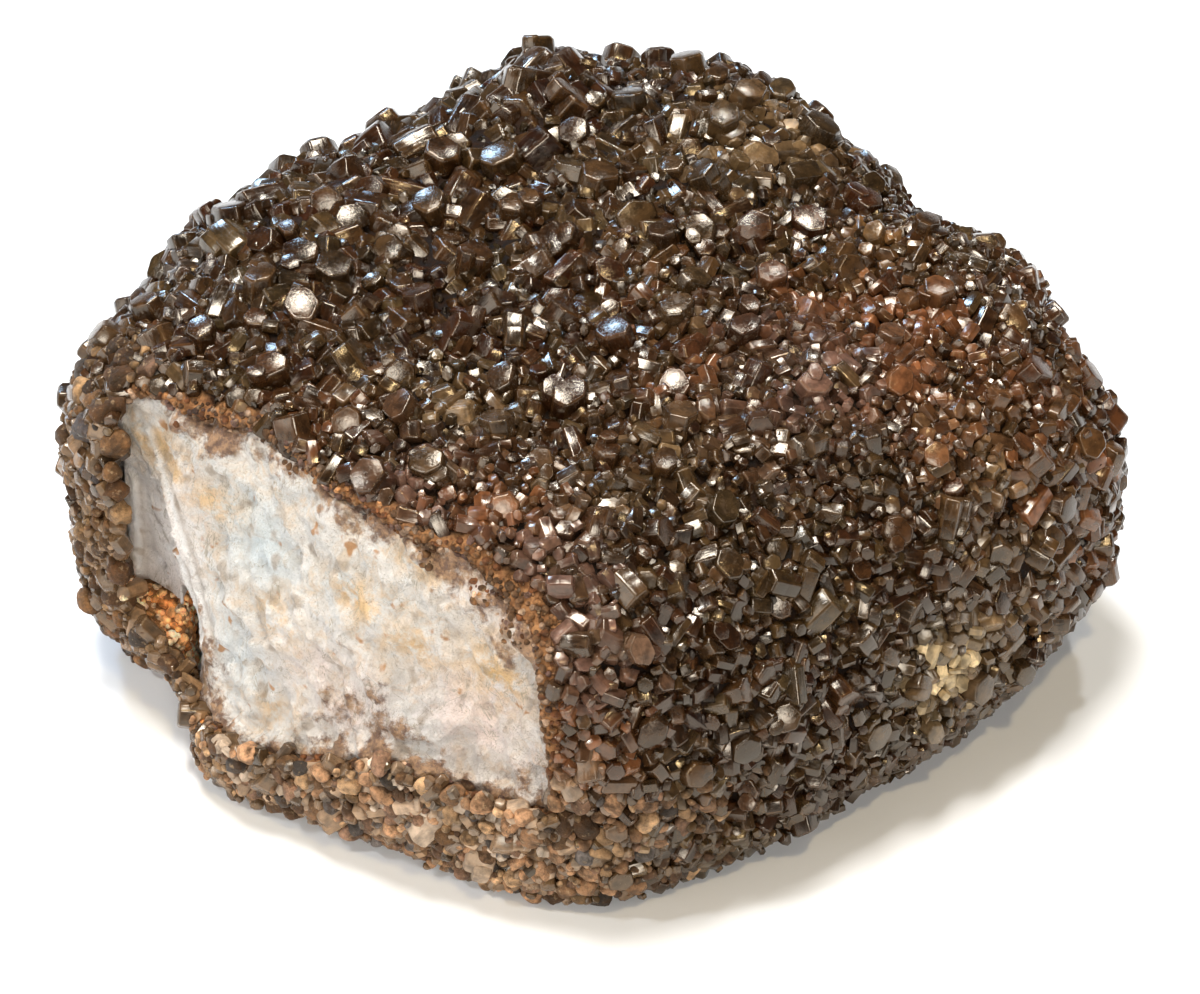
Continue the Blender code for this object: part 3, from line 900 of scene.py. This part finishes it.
def fine_rock(tree):
    """The block, with cleavage steps, ridges and a rough grain on its broken face."""
    mesh = remeshed("baryte_matrix", ROCK_VOXEL)
    points, _, normals = mesh_arrays(mesh)
    x, y, z = points.T
    wall, foot = walls_at(points)
    beside = (x > BREAK[0][0] - 1) & (x < BREAK[-1][0] + 2)
    face = beside * np.exp(-(((y - wall) / 2.0) ** 4)) * np.clip((z - foot + 2.5) / 1.5, 0, 1)
    ledge = beside * (y < wall + 1) * np.exp(-(((z - foot) / 2.2) ** 4))
    shown = np.clip(face + ledge, 0, 1)
    smooth = 1 / (1 + np.exp((x - SMOOTH[0]) * 2.2))
    lumps = fractal(points, 6.5, 2, 3.0)
    slant = (0.95 * x + 0.4 * z) / 3.4 + 0.8 * lumps
    coarse = fractal(points, 2.1, 3, 9.0)
    grain = fractal(points, 0.85, 2, 15.0)
    rough = 0.70 * (step_up(slant, 3.0) - slant) + 0.55 * coarse + 0.22 * grain
    relief = 0.55 * lumps + (1 - 0.8 * smooth * np.clip((SMOOTH[1] - z) / 6, 0, 1)) * rough
    for low, high, width, rise in RIDGES:
        relief += rise * ridge(x, z, low, high, width)
    relief -= NICK[3] * np.exp(-((x - NICK[0]) ** 2 + (z - NICK[1]) ** 2) / NICK[2] ** 2)
    rest = np.clip((z - 0.3) / 1.0, 0, 1) * (1 - shown) * 0.14 * (coarse + grain)
    points += normals * (shown * relief + rest)[:, None]
    write_points(mesh, points, 0.0)
    guard = np.clip(shown + (z < 4.5) * (z > 0.05) * 0.5, 0, 1)
    mesh = thinned(mesh, 0.55, guard)
    points = mesh_arrays(mesh)[0]
    x, _, z = points.T
    depth = depth_below(tree, points)[0]
    left, right, top = FACET
    facet = np.clip((x - left) / 1.5, 0, 1) / (1 + np.exp((x - right) * 2.2)) * np.clip((top - z) / 5, 0, 1)
    # Painted highlight along each ridge, and painted shade just beside it.
    bright = sum(ridge(x, z, low, high, 0.24) for low, high, _, _ in RIDGES)
    shaded = sum(ridge(x - 0.5, z, low, high, 0.26) for low, high, _, _ in RIDGES)
    looks = {name: blobs(x, z, clouds) for name, clouds in CLOUDS.items()}
    looks["rim"] = np.exp(-((np.maximum(depth - 1.6, 0) / 1.5) ** 2))
    looks["facet"] = facet
    looks["ridge"] = np.clip(bright, 0, 1)
    looks["painted_ridge_shade"] = np.clip(shaded, 0, 1)
    looks["steps"] = fractal(points, 1.4, 3, 30.0)
    for name, values in looks.items():
        write_attribute(mesh, name, values)
    mesh.shade_smooth()
    return mesh


def lump_piece(name, places, facing, radius, colour, divisions, material, draw):
    """Blocky knobs as one mesh: small balls pressed flat on many sides, each in its own way."""
    shape = bmesh.new()
    bmesh.ops.create_icosphere(shape, subdivisions=divisions, radius=1.0)
    ball = np.array([tuple(v.co) for v in shape.verts])
    faces = np.array([[v.index for v in f.verts] for f in shape.faces])
    shape.free()
    count = len(places)
    pressed = np.full((count, len(ball)), 0.15)
    for _ in range(13):
        way = unit(draw.normal(0, 1, (count, 3)))
        pressed += np.clip((way @ ball.T) / draw.uniform(0.66, 1.0, (count, 1)), 0, None) ** 10
    out = pressed ** (-1 / 10)
    phase = draw.uniform(0, math.tau, (count, 1))
    out += 0.06 * np.sin(draw.normal(0, 4.0, (count, 3)) @ ball.T + phase)
    local = ball[None] * out[:, :, None] * radius[:, None, None]
    along = np.einsum("nvk,nk->nv", local, facing)
    flat = 0.25 * draw.random((count, 1))
    local -= facing[:, None] * (along * flat)[:, :, None]
    world = places[:, None] + local
    world[:, :, 2] = np.maximum(world[:, :, 2], 0.0)
    loops = (faces[None] + np.arange(count)[:, None, None] * len(ball)).ravel()
    mesh = mesh_from(name, world.reshape(-1, 3), loops, np.arange(count * len(faces)) * 3)
    mesh.shade_smooth()
    # Painted light and shade: each knob's colour is lighter where it bulges out and darker where it is
    # pressed flat or dips.
    relief_lit_tint = colour[:, None] * (1 + 1.6 * (out[:, :, None] - out.mean()))
    write_attribute(mesh, "tint", np.clip(relief_lit_tint, 0, 1), "FLOAT_COLOR")
    object_from(name, mesh, material)


def stained_places(mesh, tree, draw):
    """Places for rusty grains on the broken face, in ragged patches along its upper edge."""
    points, faces, normals = mesh_arrays(mesh)
    middle = points[faces].mean(axis=1)
    x, y, _ = middle.T
    near = np.flatnonzero((x > BREAK[0][0]) & (x < BREAK[-1][0] + 1) & (y < -6))
    spots = middle[near]
    wall, foot = walls_at(spots)
    on_face = (np.abs(spots[:, 1] - wall) < 2.5) & (spots[:, 2] - foot > 2)
    weights = np.zeros(len(faces))
    weights[near] = on_face & (depth_below(tree, spots)[0] < 1.3 + 1.2 * fractal(spots, 1.9, 2, 50.0))
    places, facing = scatter(points, faces, normals, weights, STAIN_TRIES, draw)
    return places - facing * 0.12, facing


def rusty_rim(open_edge, stained, material, draw):
    """Rusty grains along the edges of the break."""
    places, facing = (np.concatenate(pair) for pair in zip(open_edge, stained))
    size = draw.uniform(0.16, 0.40, len(places))
    size = np.where(places[:, 0] < -30.5, size * 1.4, size)
    places, facing, size = keep_apart(places, facing, size, 0.66)
    count = len(size)
    patch = np.clip(0.5 + 0.8 * fractal(places, 2.0, 2, 60.0), 0, 1)[:, None]
    shade = picked(RIM_SHADES, count, draw, RIM_SHARES)
    shade = shade * draw.uniform(0.55, 1.35, count)[:, None] * (0.4 + patch)
    ledge = (places[:, 0] < LEDGE[0]) & (places[:, 2] < LEDGE[1])
    # The ledge's orange is its own colour, laid on brighter as painted light where the ledge lies in shade.
    shade = np.where(ledge[:, None], shade + picked(LEDGE_SHADES, count, draw), shade)
    lump_piece("rusty_rim", places, facing, size, shade, 2, material, draw)


def lobe_knobs(skin, material, draw):
    """Blocky golden-brown grains and knobs on the left lobe and along the foot below the break."""
    middle = skin[0][skin[1]].mean(axis=1)
    x, y, z = middle.T
    lobe = np.clip(1.3 * near_zone(middle, *LOBE), 0, 1) * (x < LOBE_END) * (y < -4)
    azimuth = np.degrees(np.arctan2(y - AXIS_Y, x)) % 360
    foot = np.exp(-(((azimuth - FOOT[0]) / FOOT[1]) ** 4)) * (z < FOOT[2])
    weights = np.clip(lobe + foot, 0, 1) * open_skin(skin, 0.9, -2.0, 0.4)
    places, facing = scatter(*skin, weights, KNOB_TRIES, draw)
    size = 0.30 + 0.28 * draw.exponential(1.0, len(places))
    size = np.clip(size, 0.3, np.where(places[:, 0] < LOBE_END, 1.35, 0.95))
    size = np.where(near_zone(places, DARK_LUMPS, 2.4) > 0.37, DARK_RADIUS, size)
    places, facing, size = keep_apart(*largest_first(places, facing, size, 0.8, draw), 0.80)
    centre = places - facing * (size * draw.uniform(0.55, 0.95, len(size)))[:, None]
    patch = np.clip(0.5 + 1.1 * fractal(places, 2.6, 2, 70.0), 0, 1)[:, None]
    shade = picked(KNOB_SHADES, len(size), draw, KNOB_SHARES) * (0.35 + 1.15 * patch)
    shade = np.where(places[:, :1] < LOBE_END, shade * 0.72, shade * 1.1 + patch * 0.05)
    shade = shade * (1 - 0.35 * np.clip((places[:, :1] + 4) / 8, 0, 1))
    shade = shade * (1 - 0.30 * np.clip((places[:, 2:] - 18) / 6, 0, 1))
    shade = np.where((size == DARK_RADIUS)[:, None], np.array((0.050, 0.042, 0.042)), shade)
    for name, chosen, divisions in (("knobs", size >= 0.55, 3), ("grains", size < 0.55, 2)):
        parts = (values[chosen] for values in (centre, facing, size, shade))
        lump_piece(name, *parts, divisions, material, draw)


class Shading:
    """The node tree of a material or a world, with short ways to add nodes to it."""

    def __init__(self, name, kind=bpy.data.materials, shader="Principled BSDF"):
        self.owner = kind.new(name)
        self.owner.use_nodes = True
        self.tree = self.owner.node_tree
        self.surface = self.tree.nodes[shader]

    def set(self, socket, value):
        if isinstance(value, bpy.types.NodeSocket):
            self.tree.links.new(value, socket)
        else:
            socket.default_value = (*value, 1.0) if socket.type == "RGBA" else value

    def node(self, kind, inputs, output=0, **settings):
        made = self.tree.nodes.new("ShaderNode" + kind)
        for key, value in settings.items():
            setattr(made, key, value)
        for key, value in inputs.items():
            self.set(made.inputs[key], value)
        return made.outputs[output]

    def shader(self, **inputs):
        for key, value in inputs.items():
            self.set(self.surface.inputs[key.replace("_", " ")], value)

    def attribute(self, name, output="Fac"):
        return self.node("Attribute", {}, output, attribute_name=name)

    def maths(self, operation, first, second=0.0):
        return self.node("Math", {0: first, 1: second}, operation=operation)

    def vectors(self, operation, first, second):
        return self.node("VectorMath", {0: first, 1: second}, operation=operation)

    def place(self):
        """The object's own coordinates, in millimetres."""
        return self.vectors("MULTIPLY", self.node("TexCoord", {}, "Object"), (1 / MM,) * 3)

    def noise(self, vector, scale, detail=3.0, rough=0.55, distortion=0.0):
        inputs = {"Vector": vector, "Scale": scale, "Detail": detail, "Roughness": rough}
        return self.node("TexNoise", {**inputs, "Distortion": distortion})

    def ramp(self, value, low, high, out_low=0.0, out_high=1.0):
        inputs = {"Value": value, "From Min": low, "From Max": high, "To Min": out_low, "To Max": out_high}
        return self.node("MapRange", inputs, interpolation_type="SMOOTHSTEP")

    def mix(self, share, first, second, blend="MIX"):
        inputs = {0: share, 6: first, 7: second}
        return self.node("Mix", inputs, 2, data_type="RGBA", blend_type=blend)

    def over(self, share, colour, where=None):
        """Lays another colour over the material's own, only as far as an attribute says if one is named."""
        if where:
            share = self.maths("MULTIPLY", self.attribute(where), share)
        self.colour = self.mix(share, self.colour, colour)

    def toned(self, colour, value, low, high):
        """A colour made darker and lighter by a noise."""
        return self.mix(1.0, colour, self.ramp(value, 0.25, 0.75, low, high), "MULTIPLY")

    def bump(self, height, distance, normal=None):
        inputs = {"Height": height, "Distance": distance, "Strength": 1.0}
        if normal is not None:
            inputs["Normal"] = normal
        return self.node("Bump", inputs)


def crystal_material():
    """Dark resinous crystals: growth streaks, cloudy patches and a brown film in places."""
    m = Shading("vanadinite_crystal")
    tint = m.attribute("tint", "Color")
    grain = m.attribute("grain", "Vector")
    streak = m.noise(m.vectors("MULTIPLY", grain, (5.0, 5.0, 0.9)), 1.0, 4.0, 0.6)
    m.colour = m.toned(tint, m.noise(grain, 1.1, 3.0, 0.6), 0.45, 1.5)
    m.over(m.ramp(streak, 0.55, 0.8, 0.0, 0.14), GOLDEN)
    dusty = m.ramp(m.noise(m.place(), 0.45, 4.0, 0.65), 0.56, 0.74, 0.0, 0.45)
    m.over(dusty, (0.060, 0.034, 0.017))
    rough = m.maths("ADD", m.ramp(streak, 0.3, 0.75, 0.10, 0.28), m.maths("MULTIPLY", dusty, 0.5))
    rough = m.maths("ADD", rough, m.ramp(tint, 0.06, 0.20, 0.0, 0.36))
    steps = m.bump(m.noise(grain, 1.1, 1.0, 0.5, 0.3), 0.000025)
    m.shader(Base_Color=m.colour, Roughness=rough, IOR=1.62, Normal=m.bump(streak, 0.00002, steps))
    m.shader(Specular_Tint=(1.0, 0.90, 0.76))
    return m.owner


def earthy_material():
    """Golden-brown grains and knobs with a waxy to earthy skin and dark seams."""
    m = Shading("vanadinite_knobs")
    spot = m.place()
    mottle = m.noise(spot, 1.6, 5.0, 0.7)
    m.colour = m.toned(m.attribute("tint", "Color"), mottle, 0.35, 1.7)
    m.over(m.ramp(m.noise(spot, 0.6, 4.0, 0.65, 0.6), 0.50, 0.66, 0.0, 0.85), (0.050, 0.024, 0.011))
    m.over(m.ramp(m.noise(spot, 2.6, 3.0), 0.58, 0.72, 0.0, 0.6), (0.40, 0.27, 0.15))
    m.shader(Base_Color=m.colour, Roughness=m.ramp(mottle, 0.3, 0.7, 0.42, 0.75), Specular_IOR_Level=0.36)
    m.shader(Specular_Tint=(1.0, 0.82, 0.62))
    m.shader(Normal=m.bump(m.noise(spot, 3.6, 5.0, 0.7), 0.00030))
    return m.owner


def under_material():
    """What shows between the crystals: dull and rusty, brighter along the break, and elsewhere dark brown
    made near black as painted shade of the deep gaps.
    """
    m = Shading("vanadinite_under")
    spot = m.place()
    speck = m.noise(spot, 1.6, 5.0, 0.65)
    # Painted shade: the dark brown base is made near black, as the shade deep between the crystals.
    m.colour = m.mix(m.ramp(speck, 0.35, 0.7), (0.004, 0.002, 0.001), (0.016, 0.007, 0.003))
    m.over(m.ramp(m.noise(spot, 0.25, 3.0), 0.5, 0.7, 0.0, 0.5), (0.025, 0.011, 0.005))
    rusty = m.mix(m.ramp(speck, 0.3, 0.7), (0.11, 0.042, 0.015), (0.33, 0.165, 0.070))
    m.over(m.attribute("rim"), rusty)
    m.shader(Base_Color=m.colour, Roughness=m.ramp(speck, 0.3, 0.7, 0.6, 0.9), Specular_IOR_Level=0.12)
    m.shader(Normal=m.bump(m.noise(spot, 2.5, 5.0, 0.65), 0.0002))
    return m.owner


def baryte_material():
    """Cream-white baryte with cool, rosy and ochre clouds, veins, rust spots and a stained rim, with
    painted highlights and shades at the ridges and a facet painted brighter as light.
    """
    m = Shading("baryte")
    spot = m.place()
    tilted = m.node("Mapping", {"Vector": spot, "Rotation": (0.0, 0.45, 0.0), "Scale": (1.0, 1.0, 0.4)})
    wavy = m.noise(tilted, 0.33, 5.0, 0.62, 1.1)
    cloud = m.noise(spot, 0.30, 5.0, 0.62, 0.5)
    speck = m.noise(spot, 1.5, 6.0, 0.72)
    fine = m.noise(spot, 4.0, 5.0, 0.7)
    m.colour = m.mix(m.ramp(cloud, 0.40, 0.60), (0.90, 0.835, 0.76), (0.79, 0.765, 0.725))
    m.over(m.ramp(m.noise(spot, 0.55, 5.0, 0.66, 0.8), 0.46, 0.66, 0.0, 0.75), (0.80, 0.60, 0.40))
    m.over(m.ramp(speck, 0.54, 0.70, 0.0, 0.42), (0.55, 0.43, 0.31))
    m.over(m.ramp(fine, 0.54, 0.72, 0.0, 0.35), (1.0, 0.98, 0.95))
    m.over(m.ramp(wavy, 0.30, 0.55, 0.4, 1.0), (0.70, 0.77, 0.79), "cool")
    m.over(m.ramp(cloud, 0.38, 0.60, 0.3, 1.0), (0.95, 0.765, 0.675), "peach")
    # The facet's own pinkish white, laid on almost fully and brighter than the rock around it, is partly
    # painted light on a face turned from the lamps.
    m.over(0.95, (1.0, 0.92, 0.86), "facet")
    m.over(m.ramp(m.noise(spot, 0.7, 4.0, 0.65), 0.38, 0.58), (0.84, 0.53, 0.22), "ochre")
    vein = m.maths("SUBTRACT", m.noise(tilted, 0.42, 4.0, 0.6, 1.6), 0.5)
    vein = m.ramp(m.maths("ABSOLUTE", vein), 0.0, 0.020, 0.7, 0.0)
    m.over(m.maths("MULTIPLY", vein, m.ramp(cloud, 0.4, 0.6)), (0.42, 0.34, 0.22))
    # Painted shade beside the ridges, then a painted highlight along them.
    m.over(0.55, (0.42, 0.33, 0.24), "painted_ridge_shade")
    m.over(0.8, (1.0, 0.97, 0.93), "ridge")
    m.over(m.ramp(m.noise(spot, 0.62, 2.0, 0.5, 0.3), 0.665, 0.74, 0.0, 0.9), (0.55, 0.25, 0.07))
    stain = m.maths("ADD", m.attribute("rim"), m.ramp(m.noise(spot, 0.45, 5.0, 0.7), 0.25, 0.75))
    crumbs = m.mix(m.ramp(speck, 0.40, 0.62), (0.15, 0.06, 0.022), (0.48, 0.27, 0.13))
    m.over(m.ramp(stain, 1.05, 1.50, 0.0, 0.95), crumbs)
    m.over(m.ramp(m.attribute("steps"), -0.75, -0.30, 0.6, 0.0), (0.38, 0.27, 0.17))
    bent = m.vectors("ADD", tilted, m.vectors("MULTIPLY", m.noise(spot, 0.8, 3.0), (1.2, 1.2, 1.2)))
    chips = m.node("TexVoronoi", {"Vector": bent, "Scale": 0.8}, "Distance", distance="CHEBYCHEV")
    coarse = m.bump(m.noise(spot, 0.9, 6.0, 0.72, 0.4), 0.0010, m.bump(chips, 0.0005))
    m.shader(Base_Color=m.colour, Roughness=m.ramp(speck, 0.3, 0.7, 0.38, 0.7), IOR=1.64)
    m.shader(Normal=m.bump(m.noise(spot, 3.0, 6.0, 0.75), 0.00024, coarse))
    return m.owner


def pale_floor():
    corners = FLOOR * np.array([(-1, -1, 0), (1, -1, 0), (1, 1, 0), (-1, 1, 0)])
    mesh = mesh_from("floor", corners, np.arange(4), np.array([0]))
    m = Shading("pale_floor")
    m.shader(Base_Color=(0.82, 0.82, 0.815), Roughness=0.8)
    mesh.materials.append(m.owner)
    linked("floor", mesh)


def surround():
    """A world that is pale at the horizon and nearly dark above it."""
    m = Shading("surround", bpy.data.worlds, "Background")
    up = m.node("SeparateXYZ", {0: m.node("TexCoord", {}, "Generated")}, "Z")
    m.shader(Color=(0.96, 0.98, 1.0), Strength=m.ramp(up, 0.12, 0.20, 0.74, 0.05))
    bpy.context.scene.world = m.owner


def turned_to(data, place, target):
    """A lamp or a camera at a place, looking at a target."""
    made = linked(data.name, data)
    made.location = place
    made.rotation_euler = (Vector(target) - Vector(place)).to_track_quat("-Z", "Y").to_euler()
    return made


def studio():
    """A wide pale floor, a pale surround, soft lamps and a few small ones that make the facets glint."""
    pale_floor()
    surround()
    for name, place, size, power, colour in LAMPS:
        light = bpy.data.lights.new(name, "AREA")
        light.shape = "RECTANGLE"
        light.size, light.size_y = size
        light.energy = power
        light.color = colour
        turned_to(light, place, LAMPS_AT)


def photo_camera():
    """The photograph's view: from the front, 40 degrees above the floor."""
    data = bpy.data.cameras.new("camera")
    data.lens = 100.0
    data.sensor_width = 36.0
    data.sensor_fit = "HORIZONTAL"
    data.clip_start = 0.01
    data.clip_end = 20.0
    target = Vector((0.0, -0.0075, 0.016))
    tilt = math.radians(40)
    place = target + 0.25 * Vector((0.0, -math.cos(tilt), math.sin(tilt)))
    bpy.context.scene.camera = turned_to(data, place, target)


def main():
    draw = np.random.default_rng(SCATTER_SEED)
    skin, tree = fine_skin()
    knobs, crystal = earthy_material(), crystal_material()

    block = fine_rock(tree)
    stained = stained_places(block, tree, draw)
    rock = object_from("baryte_block", block, baryte_material())
    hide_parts("baryte_matrix")

    layer = crust_under(tree)
    points, faces, normals = mesh_arrays(layer)
    opened = faces_open(points, faces)
    rim = np.zeros(len(points))
    rim[faces[opened > 0]] = 1.0
    write_attribute(layer, "rim", rim)
    rusty_rim(scatter(points, faces, normals, opened, EDGE_TRIES, draw), stained, knobs, draw)
    crust = object_from("crust_under", layer, under_material())
    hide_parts("vanadinite_crust")
    lobe_knobs(skin, knobs, draw)

    large, place, radius = large_crystals(draw)
    crystal_piece("large_crystals", large, FULL, CUT, crystal, draw)
    small = small_crystals(skin, place, radius, draw)
    crystal_piece("filling_crystals", filling_crystals(skin, draw), PLAIN, 0, crystal, draw)
    medium, left = small["radius"] >= MEDIUM, small["centre"][:, 0] < 0
    for size, sized, cut in (("medium", medium, CUT), ("small", ~medium, 0)):
        for side, there in (("left", left), ("right", ~left)):
            part = {key: value[sized & there] for key, value in small.items()}
            crystal_piece(f"{size}_crystals_{side}", part, CAPPED, cut, crystal, draw)

    studio()
    photo_camera()
    bpy.context.scene.view_settings.view_transform = "Standard"
    bpy.context.view_layer.update()


main()
